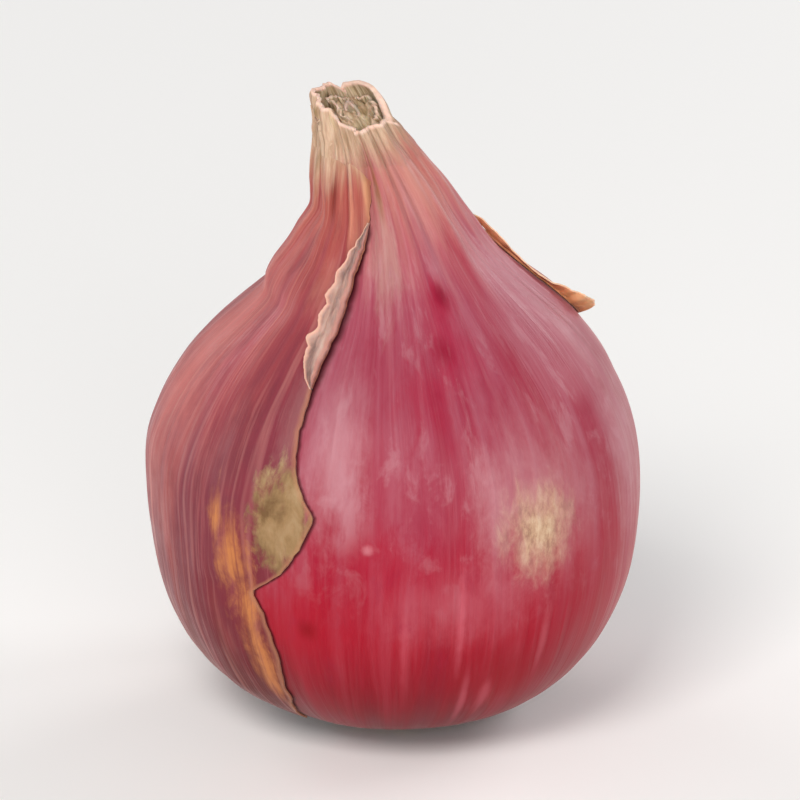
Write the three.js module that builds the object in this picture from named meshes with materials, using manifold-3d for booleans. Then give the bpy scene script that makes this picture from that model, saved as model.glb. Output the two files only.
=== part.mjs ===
// A pink shallot standing on its root end, neck up.
// The bulb is one grown body: the flat root plate with its cut root stubs, the round
// belly, the pleated neck and the dried, crumpled crown where the leaves were cut.
// A dry outer skin, split open down the front, still wraps its left side and its back.
// Millimetres. +Z is up, the front is -Y, and the origin is the centre of the root
// plate's flat face, on which the shallot stands.

import * as THREE from "three";
import { mergeVertices } from "three/addons/utils/BufferGeometryUtils.js";
import Module from "manifold-3d";

// Driving sizes
const BELLY_RADIUS = 17.8;
const BELLY_HEIGHT = 16.6;
const NECK_TOP = 43.4;
const ROOT_PLATE_RADIUS = 5.2;
const ROOT_PLATE_DROP = 0.9;

// The neck bows towards the left from NECK_BOW_START, by NECK_BOW at the full height.
const FULL_HEIGHT = 46.8;
const NECK_BOW_START = 30;
const NECK_BOW = -3.7;
const NECK_BOW_POWER = 2.35;

// Low facets on the belly, and pleats that gather towards the neck
const FACETS = [
  { waves: 3, share: 0.008, phase: 0.6 },
  { waves: 5, share: 0.006, phase: 2.1 },
];
const PLEATS = 10;
const PLEAT_DEPTH = 0.2;
const PLEAT_START = 27;
const PLEAT_FULL = 38;
const PLEAT_TWIST = 0.025;

// Under the dry skin the bulb is a little flatter, by SKIN_REST at the most, so that bulb
// and skin together are as round as the bare side.
const SKIN_REST = 0.7;
const SKIN_SIDE = -125;
const SKIN_REST_RADII = [3, 12];

const BULB_SEGMENTS = 72;
const BULB_RINGS_PER_POINT = 2;

// The dry skin is a thin sheet over the bulb.
const SKIN_GAP = 0.3;
const SKIN_THICKNESS = 0.6;
const SKIN_COLUMNS = 40;
const SKIN_ROWS = 28;

const BULB_MATERIAL = { color: 0xb4465c, roughness: 0.42, metalness: 0 };
const SKIN_MATERIAL = { color: 0xb06a66, roughness: 0.5, metalness: 0 };

const wasm = await Module();
wasm.setup();

const degrees = THREE.MathUtils.degToRad;
const smooth = THREE.MathUtils.smoothstep;

// Repeatable random numbers from 0 to 1
function randomFrom(seed) {
  let state = seed;
  return () => {
    state = (state * 1664525 + 1013904223) % 4294967296;
    return state / 4294967296;
  };
}

// Reads a [height, value] list at a height, with straight lines between its points.
function readAlong(list, height) {
  if (height <= list[0][0]) return list[0][1];
  for (let i = 1; i < list.length; i++) {
    const [h0, v0] = list[i - 1];
    const [h1, v1] = list[i];
    if (height <= h1) return v0 + ((v1 - v0) * (height - h0)) / (h1 - h0);
  }
  return list[list.length - 1][1];
}

// The outline from under the belly to the neck's top, and on up the crown, as
// [radius, height]
const BELLY_AND_NECK = [
  [6.2, 0.95],
  [8.8, 1.25],
  [11.6, 2.5],
  [14, 4.6],
  [15.9, 7.5],
  [17.3, 11.5],
  [BELLY_RADIUS, BELLY_HEIGHT],
  [17.3, 21.6],
  [15.6, 25.7],
  [12.7, 29.2],
  [9.5, 32.3],
  [7, 35],
  [5.5, 37.6],
  [4.3, 40],
  [3.2, 42],
  [2.6, NECK_TOP],
];
const CROWN = [
  [2.35, 44.6],
  [2.4, 45.8],
];
const OUTLINE = new THREE.SplineCurve(
  [...BELLY_AND_NECK, ...CROWN].map(([r, z]) => new THREE.Vector2(r, z)),
);

function neckBow(z) {
  const share = Math.max(0, (z - NECK_BOW_START) / (FULL_HEIGHT - NECK_BOW_START));
  return NECK_BOW * share ** NECK_BOW_POWER;
}

// Where a point of the plain round outline goes on the real one. The angle is 0 at the
// front and grows towards the right. lift moves the point out along tilt, the angle of
// the outline's normal above the level.
function onBulb(angle, radius, z, lift = 0, tilt = 0) {
  const facets = FACETS.reduce(
    (sum, f) => sum + f.share * Math.cos(f.waves * angle + f.phase),
    0,
  );
  const gather = smooth(z, PLEAT_START, PLEAT_FULL) * Math.min(1, radius / 3);
  const pleat =
    PLEAT_DEPTH * gather * Math.cos(PLEATS * angle + 0.8 * Math.sin(2 * angle) + PLEAT_TWIST * PLEATS * z);
  const side = 0.5 + 0.5 * Math.cos(angle - degrees(SKIN_SIDE));
  const rest = SKIN_REST * side * smooth(radius, ...SKIN_REST_RADII);
  const r = radius * (1 + facets) + pleat - rest + lift * Math.cos(tilt);
  return new THREE.Vector3(
    neckBow(z) + r * Math.sin(angle),
    -r * Math.cos(angle),
    z + lift * Math.sin(tilt),
  );
}

// A closed geometry with one vertex at each place and no empty faces
function welded(geometry) {
  const bare = geometry.clone();
  bare.deleteAttribute("normal");
  bare.deleteAttribute("uv");
  const merged = mergeVertices(bare, 1e-4);
  const old = merged.index.array;
  const kept = [];
  for (let i = 0; i < old.length; i += 3) {
    const [a, b, c] = [old[i], old[i + 1], old[i + 2]];
    if (a !== b && b !== c && c !== a) kept.push(a, b, c);
  }
  merged.setIndex(kept);
  return merged;
}

function toSolid(geometry) {
  const g = welded(geometry);
  return new wasm.Manifold(
    new wasm.Mesh({
      numProp: 3,
      vertProperties: new Float32Array(g.attributes.position.array),
      triVerts: new Uint32Array(g.index.array),
    }),
  );
}

function toGeometry(solid) {
  const mesh = solid.getMesh();
  const geometry = new THREE.BufferGeometry();
  geometry.setAttribute(
    "position",
    new THREE.BufferAttribute(new Float32Array(mesh.vertProperties), 3),
  );
  geometry.setIndex(new THREE.BufferAttribute(new Uint32Array(mesh.triVerts), 1));
  geometry.computeVertexNormals();
  return geometry;
}

// Moves each vertex of a geometry to where a function sends it.
function shaped(geometry, send) {
  const position = geometry.attributes.position;
  const point = new THREE.Vector3();
  for (let i = 0; i < position.count; i++) {
    point.fromBufferAttribute(position, i);
    const moved = send(point);
    position.setXYZ(i, moved.x, moved.y, moved.z);
  }
  return geometry;
}

// The root plate, the belly and the neck, turned from one outline. The neck ends in a
// shallow hollow, between the dried leaf bases.
function bulbBody() {
  const spans = OUTLINE.points.length - 1;
  const rings = BULB_RINGS_PER_POINT * (BELLY_AND_NECK.length - 1);
  const wall = Array.from({ length: rings + 1 }, (_, i) =>
    OUTLINE.getPoint(i / (BULB_RINGS_PER_POINT * spans)),
  );
  const plate = [
    [0, 0],
    [ROOT_PLATE_RADIUS - 0.3, 0],
    [ROOT_PLATE_RADIUS, 0.35],
    [ROOT_PLATE_RADIUS + 0.1, ROOT_PLATE_DROP],
  ];
  const hollow = [
    [2.1, NECK_TOP + 0.2],
    [1.4, NECK_TOP - 0.4],
    [0.6, NECK_TOP - 0.7],
    [0, NECK_TOP - 0.7],
  ];
  const asPoints = (list) => list.map(([r, z]) => new THREE.Vector2(r, z));
  const profile = [...asPoints(plate), ...wall, ...asPoints(hollow)];
  // The lathe turns about +Y, from +Z towards +X. Its height becomes +Z here.
  const lathe = new THREE.LatheGeometry(profile, BULB_SEGMENTS);
  return shaped(lathe, (p) => {
    const radius = Math.hypot(p.x, p.z);
    const angle = Math.atan2(p.x, p.z);
    if (p.y < ROOT_PLATE_DROP + 0.01) {
      return new THREE.Vector3(radius * Math.sin(angle), -radius * Math.cos(angle), p.y);
    }
    return onBulb(angle, radius, p.y);
  });
}

// One dried leaf base of the crown: a thin curved blade that stands in the neck's rim.
// Its torn top edge is uneven, and it flares out or rolls in towards the top.
function leafEnd({ from, to, radius, top, flare, roll, ragged, seed }) {
  const columns = 9;
  const rows = 6;
  const random = randomFrom(seed);
  const torn = Array.from({ length: columns + 1 }, () => (random() - 0.5) * ragged);
  return shaped(new THREE.BoxGeometry(1, 1, 1, columns, rows, 1), (p) => {
    const across = p.x + 0.5;
    const up = p.y + 0.5;
    const angle = degrees(THREE.MathUtils.lerp(from, to, across));
    const corner = Math.abs(2 * across - 1) ** 5;
    const rim = top - corner * LEAF_CORNER + torn[Math.round(across * columns)];
    const z = THREE.MathUtils.lerp(LEAF_FOOT, rim, up);
    const crumple = LEAF_CRUMPLE * Math.sin(9 * across + 3 * up + seed) * up;
    const r = radius + flare * up ** 1.5 - roll * up ** 5 + crumple + p.z * LEAF_THICKNESS;
    return new THREE.Vector3(neckBow(z) + r * Math.sin(angle), -r * Math.cos(angle), z);
  });
}

// The crown's leaf bases, from the tall rolled one behind and to the right to the low
// ones in front. The angles are degrees round the neck.
const LEAF_FOOT = 41.8;
const LEAF_THICKNESS = 0.62;
const LEAF_CORNER = 0.8;
const LEAF_CRUMPLE = 0.12;
const LEAF_ENDS = [
  { from: 25, to: 175, radius: 2, top: 46.7, flare: 0.3, roll: 0.8, ragged: 0.2, seed: 3 },
  { from: -152, to: -62, radius: 1.65, top: 46, flare: 0.1, roll: 0.1, ragged: 0.7, seed: 19 },
  { from: -66, to: -4, radius: 2.05, top: 44.7, flare: 0.2, roll: 0.2, ragged: 0.6, seed: 31 },
  { from: -14, to: 52, radius: 2.1, top: 44.9, flare: 0.25, roll: 0.4, ragged: 0.5, seed: 47 },
  { from: -120, to: 20, radius: 0.8, top: 45.1, flare: 0.3, roll: 0.2, ragged: 0.7, seed: 59 },
  { from: 60, to: 170, radius: 0.9, top: 45.3, flare: 0.2, roll: 0.3, ragged: 0.6, seed: 71 },
];

// Cut root stubs that lie out from the rim of the root plate, under the belly
function rootStubs() {
  const count = 24;
  const random = randomFrom(5);
  const stubs = [];
  for (let i = 0; i < count; i++) {
    const length = 1.8 + 1.5 * random();
    const thickness = 0.22 + 0.08 * random();
    const stub = new THREE.CylinderGeometry(thickness * 0.7, thickness, length, 5);
    stub.rotateX(degrees(90 - 4 * random()));
    stub.translate(0, 0.42 + 0.1 * random(), ROOT_PLATE_RADIUS - 0.6 + length / 2);
    const angle = (2 * Math.PI * (i + 0.5 * random())) / count;
    stubs.push(
      shaped(stub, (p) => new THREE.Vector3(
        p.z * Math.sin(angle) + p.x * Math.cos(angle),
        -p.z * Math.cos(angle) + p.x * Math.sin(angle),
        p.y,
      )),
    );
  }
  return stubs;
}

function bulb() {
  const pieces = [...LEAF_ENDS.map(leafEnd), ...rootStubs()];
  return toGeometry(
    pieces.reduce((sum, piece) => sum.add(toSolid(piece)), toSolid(bulbBody())),
  );
}

// The skin's two torn edges, as [height, angle in degrees]. It runs from the split at
// the front left, round the left side and the back, to the right shoulder, and up into
// the crown.
const FRONT_TEAR = [
  [1.5, -38], [5, -32], [9, -30.5], [12.5, -32.5], [14, -36], [16, -27], [18, -22.5], [20.3, -19],
  [22.8, -24], [25, -26], [29, -25], [32, -22], [35, -19], [38, -12], [41, -6], [43, -34], [44.2, -62],
];
const BACK_TEAR = [
  [1.5, -205], [5, -212], [10, -224], [15, -215], [20, -226], [24, -222], [27, -235], [28.5, -253],
  [30, -259], [33, -261], [35.5, -256], [37, -238], [39.5, -226], [42, -216], [44, -195],
];
// Between these angles the skin is whole at every height.
const WHOLE_FROM = -64;
const WHOLE_TO = -190;
const WHOLE_SHARES = [0.15, 0.75];

// How far both edges of the skin stand off the bulb, where they curled as they dried
const FRONT_CURL = 0.5;
const SHOULDER_CURL = 0.35;

function edgeLift(across, z) {
  const front = Math.max(0, 1 - across / 0.06) ** 2;
  const back = Math.max(0, 1 - (1 - across) / 0.08) ** 2;
  const frontShare = smooth(z, 25, 31) * (1 - smooth(z, 36, 40));
  const backShare = smooth(z, 26, 29) * (1 - smooth(z, 35, 38));
  return FRONT_CURL * front * frontShare + SHOULDER_CURL * back * backShare;
}

// The angle of the skin at a share of the way across it, at a height
function skinAngle(across, z) {
  const lerp = THREE.MathUtils.lerp;
  const [start, end] = WHOLE_SHARES;
  if (across < start) return lerp(readAlong(FRONT_TEAR, z), WHOLE_FROM, across / start);
  if (across > end) return lerp(WHOLE_TO, readAlong(BACK_TEAR, z), (across - end) / (1 - end));
  return lerp(WHOLE_FROM, WHOLE_TO, (across - start) / (end - start));
}

// The sheet follows the outline between two shares of its length, from under the belly
// to a ragged top in the crown.
const SKIN_FOOT_SHARE = 0.1;
const SKIN_TOP_SHARE = 0.97;
const TOP_TEARS = [
  { share: 0.012, waves: 23, phase: 0 },
  { share: 0.01, waves: 51, phase: 1 },
];

function outerSkin() {
  const sheet = new THREE.BoxGeometry(1, 1, 1, SKIN_COLUMNS, SKIN_ROWS, 1);
  return shaped(sheet, (p) => {
    const across = 0.5 - p.x;
    const torn = TOP_TEARS.reduce((sum, t) => sum + t.share * Math.sin(t.waves * across + t.phase), 0);
    const along = THREE.MathUtils.lerp(SKIN_FOOT_SHARE, SKIN_TOP_SHARE + torn, p.y + 0.5);
    const { x: radius, y: z } = OUTLINE.getPoint(along);
    const tangent = OUTLINE.getTangent(along);
    const tilt = Math.atan2(-tangent.x, tangent.y);
    const lift = SKIN_GAP + edgeLift(across, z) + (p.z + 0.5) * SKIN_THICKNESS;
    return onBulb(degrees(skinAngle(across, z)), radius, z, lift, tilt);
  });
}

function named(name, geometry, look) {
  const mesh = new THREE.Mesh(geometry, new THREE.MeshStandardMaterial(look));
  mesh.name = name;
  return mesh;
}

const shallot = new THREE.Group();
shallot.add(named("bulb", bulb(), BULB_MATERIAL));
shallot.add(named("outer_skin", welded(outerSkin()), SKIN_MATERIAL));

export default shallot;
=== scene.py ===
# A whole pink shallot that stands on its root end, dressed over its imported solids.
# Its shapes are worked out in millimetres and brought to metres as each mesh is made.

import math

import bmesh
import bpy
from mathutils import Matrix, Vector, noise


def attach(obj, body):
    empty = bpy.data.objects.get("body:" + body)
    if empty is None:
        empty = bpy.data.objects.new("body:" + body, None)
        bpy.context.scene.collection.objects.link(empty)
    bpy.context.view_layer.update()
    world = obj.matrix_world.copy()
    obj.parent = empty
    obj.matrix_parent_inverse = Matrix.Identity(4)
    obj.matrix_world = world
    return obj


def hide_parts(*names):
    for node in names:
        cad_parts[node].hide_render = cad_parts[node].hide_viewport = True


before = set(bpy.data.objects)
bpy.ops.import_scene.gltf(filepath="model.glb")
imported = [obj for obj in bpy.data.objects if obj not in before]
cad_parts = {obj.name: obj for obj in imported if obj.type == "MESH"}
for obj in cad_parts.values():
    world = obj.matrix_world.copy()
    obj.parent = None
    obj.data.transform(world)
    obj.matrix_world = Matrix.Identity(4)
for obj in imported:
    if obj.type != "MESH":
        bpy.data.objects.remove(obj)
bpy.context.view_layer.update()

# The bulb
# The living bulb from under its belly to the neck: thin, satin, pink onion skin over firm
# flesh. It grew as one body, so it is one turned shell, moved point by point into the low
# facets, the gathered neck pleats and the fine lengthwise veins.
MM = 0.001
BELLY_RADIUS = 17.8
NECK_TOP = 43.4
FULL_HEIGHT = 46.8
BELLY_AND_NECK = [
    (6.2, 0.95), (8.8, 1.25), (11.6, 2.5), (14, 4.6), (15.9, 7.5), (17.3, 11.5),
    (BELLY_RADIUS, 16.6), (17.3, 21.6), (15.6, 25.7), (12.7, 29.2), (9.5, 32.3),
    (7, 35), (5.5, 37.6), (4.3, 40), (3.2, 42), (2.6, NECK_TOP),
]
OUTLINE = BELLY_AND_NECK + [(2.35, 44.6), (2.4, 45.8)]
UNDERSIDE = [(0, 0.6), (4.6, 0.6)]
NECK_HOLLOW = [(2.2, 43.5), (1.5, 42.9), (0.6, 42.5), (0, 42.5)]

NECK_BOW_START = 30
NECK_BOW = -3.7
NECK_BOW_POWER = 2.35
FACETS = [(3, 0.008, 0.6), (5, 0.006, 2.1)]
PLEATS = 10
PLEAT_DEPTH = 0.24
PLEAT_START = 27
PLEAT_FULL = 38
PLEAT_TWIST = 0.025
PLEAT_SWAY = 0.8
FINE_PLEATS = 27
FINE_PLEAT_DEPTH = 0.1
FINE_PLEAT_START = 32
FINE_PLEAT_FULL = 39
FINE_PLEAT_SWAY = 2.4
SKIN_REST = 0.7
SKIN_SIDE = math.radians(-125)
SKIN_REST_RADII = (3, 12)
# How far each side stands out past the round outline, as (height, mm)
LEFT_SIDE = [
    (14, 0), (17, 0.1), (20.5, 0.4), (22.5, 0.25), (24.5, 0), (28.1, -0.35), (30.2, -0.65),
    (31.5, -0.7), (32.6, -0.05), (33.6, 0.25), (34.6, 0.2), (36.3, -0.15), (37.8, -0.55), (39, -0.2),
    (40.2, 0.3), (41.8, 0.75), (43.9, 0.9), (45.2, 0.6), (46.8, 0),
]
RIGHT_SIDE = [
    (25, 0), (28, 0.4), (29.8, 0.6), (31.5, 0.5), (34, 0.2), (38, 0.1), (41, 0.33), (43, 0.33), (45, 0),
]

BULB_SEGMENTS = 440
BULB_RINGS_PER_SPAN = 13
VEINS = [(3.2, 0.09, 0.05), (11, 0.045, 0.03)]
LUMPS = (2.2, 0.10, 0.16)


def smoothstep(value, low, high):
    share = min(1.0, max(0.0, (value - low) / (high - low)))
    return share * share * (3 - 2 * share)


def read_along(points, height):
    """Reads (height, value) points at a height, with straight lines between them."""
    if height <= points[0][0]:
        return points[0][1]
    for (h0, v0), (h1, v1) in zip(points, points[1:]):
        if height <= h1:
            return v0 + (v1 - v0) * (height - h0) / (h1 - h0)
    return points[-1][1]


def read_smoothly(points, height):
    """Reads (height, value) points at a height, on a smooth curve through them."""
    if not points[0][0] < height < points[-1][0]:
        return read_along(points, height)
    last = len(points) - 1
    i = max(k for k, point in enumerate(points) if point[0] <= height)
    (h0, v0), (h1, v1), (h2, v2), (h3, v3) = (points[min(max(i + k, 0), last)] for k in (-1, 0, 1, 2))
    rise1 = (v2 - v0) / (h2 - h0) * (h2 - h1)
    rise2 = (v3 - v1) / (h3 - h1) * (h2 - h1)
    t = (height - h1) / (h2 - h1)
    curve = (2 * v1 - 2 * v2 + rise1 + rise2) * t**3 + (3 * v2 - 3 * v1 - 2 * rise1 - rise2) * t**2
    return curve + rise1 * t + v1


def outline_at(share):
    """The outline's (radius, height) at a share of its length, on a smooth curve."""
    last = len(OUTLINE) - 1
    place = min(max(share, 0.0), 1.0) * last
    i = min(int(place), last - 1)
    t = place - i
    p0, p1, p2, p3 = (Vector(OUTLINE[min(max(i + k, 0), last)]) for k in (-1, 0, 1, 2))
    v0, v1 = (p2 - p0) / 2, (p3 - p1) / 2
    curve = (2 * p1 - 2 * p2 + v0 + v1) * t**3 + (3 * p2 - 3 * p1 - 2 * v0 - v1) * t**2
    return curve + v0 * t + p1


def outline_radius(z):
    """The plain outline's radius at a height."""
    return read_along([(height, radius) for radius, height in OUTLINE], z)


def neck_bow(z):
    """How far the neck leans to the left at a height, as a negative x."""
    share = max(0.0, (z - NECK_BOW_START) / (FULL_HEIGHT - NECK_BOW_START))
    return NECK_BOW * share**NECK_BOW_POWER


def round_noise(angle, z, per_radian, per_mm, seed=0.0):
    """Noise from -1 to 1 that closes on itself round the bulb."""
    place = Vector((math.cos(angle) * per_radian, math.sin(angle) * per_radian, z * per_mm))
    return noise.noise(place + Vector((seed, seed, seed)))


def on_bulb(angle, radius, z, lift=0.0, tilt=0.0):
    """Where a point of the plain outline goes, in mm. Angle 0 is the front, and it grows to
    the right. lift moves the point out along tilt, the angle of the outline's normal."""
    facets = sum(share * math.cos(waves * angle + phase) for waves, share, phase in FACETS)
    gather = smoothstep(z, PLEAT_START, PLEAT_FULL) * min(1.0, radius / 3)
    wave = PLEATS * angle + PLEAT_SWAY * math.sin(2 * angle) + PLEAT_TWIST * PLEATS * z
    pleat = PLEAT_DEPTH * gather * math.cos(wave)
    fine_gather = smoothstep(z, FINE_PLEAT_START, FINE_PLEAT_FULL) * min(1.0, radius / 4)
    fine_wave = FINE_PLEATS * angle + FINE_PLEAT_SWAY * round_noise(angle, z, 1.6, 0.07, 51.0)
    pleat += FINE_PLEAT_DEPTH * fine_gather * math.cos(fine_wave)
    side = 0.5 + 0.5 * math.cos(angle - SKIN_SIDE)
    rest = SKIN_REST * side * smoothstep(radius, *SKIN_REST_RADII)
    to_side = math.sin(angle)
    side_points = LEFT_SIDE if to_side < 0 else RIGHT_SIDE
    spread = to_side**2 * read_smoothly(side_points, z) * min(1.0, radius / 2)
    r = radius * (1 + facets) + pleat - rest + spread + lift * math.cos(tilt)
    return Vector((
        neck_bow(z) + r * math.sin(angle),
        -r * math.cos(angle),
        z + lift * math.sin(tilt),
    ))


def fibre_place(angle, z):
    """Where the grain is read for a point at an angle and a height: on a plain cylinder."""
    return (BELLY_RADIUS * math.cos(angle), BELLY_RADIUS * math.sin(angle), z)


def body_relief(angle, z):
    """The lengthwise veins and low lumps of the bare skin, in mm."""
    relief = LUMPS[2] * round_noise(angle, z, LUMPS[0], LUMPS[1])
    for per_radian, depth, per_mm in VEINS:
        relief += depth * round_noise(angle, z, per_radian, per_mm, 7.0)
    return relief


# The torn front edge of the outer skin, as (height, degrees), which the bulb needs too: a painted
# shadow darkens the bulb in the narrow gap beside that edge.
FRONT_TEAR = [
    (1.5, -38), (5, -32), (9, -30.5), (12.5, -32.5), (14, -36), (16, -27), (18, -22.5),
    (20.3, -19), (22.8, -24), (25, -26), (29, -26), (32, -24), (35, -22), (38, -13),
    (41, -6), (43, -34), (44.2, -62),
]
TEAR_JITTER = [(0.9, 0.22), (2.6, 0.09)]


def front_tear(z):
    """The angle of the torn front edge at a height, with its small frays."""
    frays = sum(size * noise.noise(Vector((z * waves, 3.1, 0))) for waves, size in TEAR_JITTER)
    across = max(3.0, outline_radius(z))
    return math.radians(read_along(FRONT_TEAR, z)) + frays / across


def make_piece(bm, name, material, replaces=None):
    """Turns a mesh in millimetres into a piece that rides on the shallot."""
    bmesh.ops.scale(bm, vec=(MM, MM, MM), verts=bm.verts)
    mesh = bpy.data.meshes.new(name)
    bm.to_mesh(mesh)
    bm.free()
    mesh.shade_smooth()
    mesh.materials.append(material)
    piece = bpy.data.objects.new(name, mesh)
    bpy.context.scene.collection.objects.link(piece)
    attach(piece, "root")
    if replaces:
        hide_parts(replaces)
    return piece


def srgb(code):
    """A colour written as six hex digits, as the linear values that shaders take."""
    parts = [int(code[i:i + 2], 16) / 255 for i in (0, 2, 4)]
    return tuple(p / 12.92 if p <= 0.04045 else ((p + 0.055) / 1.055) ** 2.4 for p in parts) + (1.0,)


def feed(tree, socket, value):
    """Links a socket to an input, or sets the input's value."""
    if isinstance(value, bpy.types.NodeSocket):
        tree.links.new(value, socket)
    else:
        socket.default_value = value


def maths(tree, operation, first, second=0.0):
    made = tree.nodes.new("ShaderNodeMath")
    made.operation = operation
    feed(tree, made.inputs[0], first)
    feed(tree, made.inputs[1], second)
    return made.outputs[0]


def mixed(tree, share, first, second):
    made = tree.nodes.new("ShaderNodeMix")
    made.data_type = "RGBA"
    feed(tree, made.inputs["Factor"], share)
    feed(tree, made.inputs[6], first)
    feed(tree, made.inputs[7], second)
    return made.outputs[2]


def remapped(tree, value, low, high, to_low=0.0, to_high=1.0):
    made = tree.nodes.new("ShaderNodeMapRange")
    made.interpolation_type = "SMOOTHSTEP"
    for name, given in (
        ("Value", value), ("From Min", low), ("From Max", high), ("To Min", to_low), ("To Max", to_high),
    ):
        feed(tree, made.inputs[name], given)
    return made.outputs[0]


def ramp(tree, value, stops):
    """A colour ramp from (place, six hex digits) stops."""
    made = tree.nodes.new("ShaderNodeValToRGB")
    bar = made.color_ramp
    while len(bar.elements) < len(stops):
        bar.elements.new(0.5)
    for element, (place, code) in zip(bar.elements, stops):
        element.position = place
        element.color = srgb(code)
    feed(tree, made.inputs[0], value)
    return made.outputs[0]


def grainy(tree, vector, scale, detail=3.0, roughness=0.55, distortion=0.0):
    made = tree.nodes.new("ShaderNodeTexNoise")
    feed(tree, made.inputs["Vector"], vector)
    made.inputs["Scale"].default_value = scale
    made.inputs["Detail"].default_value = detail
    made.inputs["Roughness"].default_value = roughness
    made.inputs["Distortion"].default_value = distortion
    return made.outputs[0]


def stretched(tree, vector, scale, place=(0.0, 0.0, 0.0)):
    made = tree.nodes.new("ShaderNodeMapping")
    feed(tree, made.inputs["Vector"], vector)
    feed(tree, made.inputs["Scale"], scale)
    feed(tree, made.inputs["Location"], place)
    return made.outputs[0]


def attribute(tree, name):
    made = tree.nodes.new("ShaderNodeAttribute")
    made.attribute_name = name
    return made


def new_group(name, inputs, outputs):
    """A shader node group with named inputs and outputs, and its two end nodes."""
    group = bpy.data.node_groups.new(name, "ShaderNodeTree")
    for label, kind, value in inputs:
        group.interface.new_socket(label, in_out="INPUT", socket_type=kind).default_value = value
    for label, kind in outputs:
        group.interface.new_socket(label, in_out="OUTPUT", socket_type=kind)
    return group, group.nodes.new("NodeGroupInput"), group.nodes.new("NodeGroupOutput")


def placed(tree, group, **inputs):
    """Puts a node group in a material, with its values."""
    made = tree.nodes.new("ShaderNodeGroup")
    made.node_tree = group
    for name, value in inputs.items():
        feed(tree, made.inputs[name.replace("_", " ")], value)
    return made.outputs


# The lengthwise grain of onion skin. The attribute "fibre" wraps it round the bulb, so that
# it closes behind and draws together at the neck and the root.
FIBRES, end_in, end_out = new_group(
    "Onion fibres",
    [("Shift", "NodeSocketFloat", 0.0)],
    [(label, "NodeSocketFloat") for label in ("Bands", "Streaks", "Fine", "Veins", "Mottle", "Relief")],
)
fibre = attribute(FIBRES, "fibre").outputs["Vector"]
shift = FIBRES.nodes.new("ShaderNodeCombineXYZ")
for axis in range(3):
    FIBRES.links.new(end_in.outputs["Shift"], shift.inputs[axis])
# A slow wander bends the fibres, so that none runs dead straight.
wander = FIBRES.nodes.new("ShaderNodeTexNoise")
FIBRES.links.new(stretched(FIBRES, fibre, (1, 1, 0.35), shift.outputs[0]), wander.inputs["Vector"])
wander.inputs["Scale"].default_value = 0.15
wander.inputs["Detail"].default_value = 2
bent = FIBRES.nodes.new("ShaderNodeVectorMath")
bent.operation = "MULTIPLY_ADD"
FIBRES.links.new(wander.outputs["Color"], bent.inputs[0])
bent.inputs[1].default_value = (2.4, 2.4, 0)
FIBRES.links.new(fibre, bent.inputs[2])
bent = bent.outputs[0]
band_noise = grainy(FIBRES, stretched(FIBRES, bent, (1, 1, 0.3), shift.outputs[0]), 0.2, 3, 0.5)
streak_noise = grainy(FIBRES, stretched(FIBRES, bent, (1, 1, 0.09), shift.outputs[0]), 0.62, 4, 0.55)
fine_noise = grainy(FIBRES, stretched(FIBRES, bent, (1, 1, 0.035), shift.outputs[0]), 2.6, 3, 0.6)
vein_noise = grainy(FIBRES, stretched(FIBRES, bent, (1, 1, 0.03), shift.outputs[0]), 1.25, 1.5, 0.5)
mottle_noise = grainy(FIBRES, stretched(FIBRES, bent, (1, 1, 0.7), shift.outputs[0]), 0.5, 5, 0.6, 0.3)
veins = remapped(FIBRES, vein_noise, 0.56, 0.74)
streak_relief = maths(FIBRES, "MULTIPLY", streak_noise, 0.8)
relief = maths(FIBRES, "ADD", streak_relief, maths(FIBRES, "MULTIPLY", veins, 0.14))
relief = maths(FIBRES, "ADD", relief, maths(FIBRES, "MULTIPLY", fine_noise, 0.3))
for label, value in (
    ("Bands", band_noise), ("Streaks", streak_noise), ("Fine", fine_noise), ("Veins", veins),
    ("Mottle", mottle_noise), ("Relief", relief),
):
    FIBRES.links.new(value, end_out.inputs[label])

# A patch at a place on the skin, with a ragged and fibrous edge. It lies in the same wrapped
# place as the grain, so it narrows with the bulb towards the neck and the root.
PATCH, end_in, end_out = new_group(
    "Ragged patch",
    [("Place", "NodeSocketVector", (0, 0, 0)), ("Size", "NodeSocketVector", (1, 1, 1)),
     ("Ragged", "NodeSocketFloat", 0.5), ("Soft", "NodeSocketFloat", 0.4)],
    [("Mask", "NodeSocketFloat")],
)
surface = attribute(PATCH, "fibre").outputs["Vector"]
offset = PATCH.nodes.new("ShaderNodeVectorMath")
offset.operation = "SUBTRACT"
PATCH.links.new(surface, offset.inputs[0])
PATCH.links.new(end_in.outputs["Place"], offset.inputs[1])
in_sizes = PATCH.nodes.new("ShaderNodeVectorMath")
in_sizes.operation = "DIVIDE"
PATCH.links.new(offset.outputs[0], in_sizes.inputs[0])
PATCH.links.new(end_in.outputs["Size"], in_sizes.inputs[1])
away = PATCH.nodes.new("ShaderNodeVectorMath")
away.operation = "LENGTH"
PATCH.links.new(in_sizes.outputs[0], away.inputs[0])
edge_place = stretched(PATCH, surface, (1, 1, 0.55))
edge_grain = grainy(PATCH, edge_place, 0.75, 5, 0.68, 0.3)
edge_wander = maths(PATCH, "MULTIPLY", maths(PATCH, "SUBTRACT", edge_grain, 0.5), end_in.outputs["Ragged"])
reach = maths(PATCH, "ADD", away.outputs["Value"], maths(PATCH, "MULTIPLY", edge_wander, 4.0))
inner = maths(PATCH, "SUBTRACT", 1.0, end_in.outputs["Soft"])
PATCH.links.new(remapped(PATCH, reach, inner, 1.0, 1.0, 0.0), end_out.inputs["Mask"])


def spot(tree, place, size, ragged=0.5, soft=0.4):
    """The mask of a patch at (degrees, height), with its half-sizes in degrees and in mm."""
    centre = fibre_place(math.radians(place[0]), place[1])
    width = BELLY_RADIUS * math.radians(size[0])
    return placed(tree, PATCH, Place=centre, Size=(width, width, size[1]), Ragged=ragged, Soft=soft)["Mask"]


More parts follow.
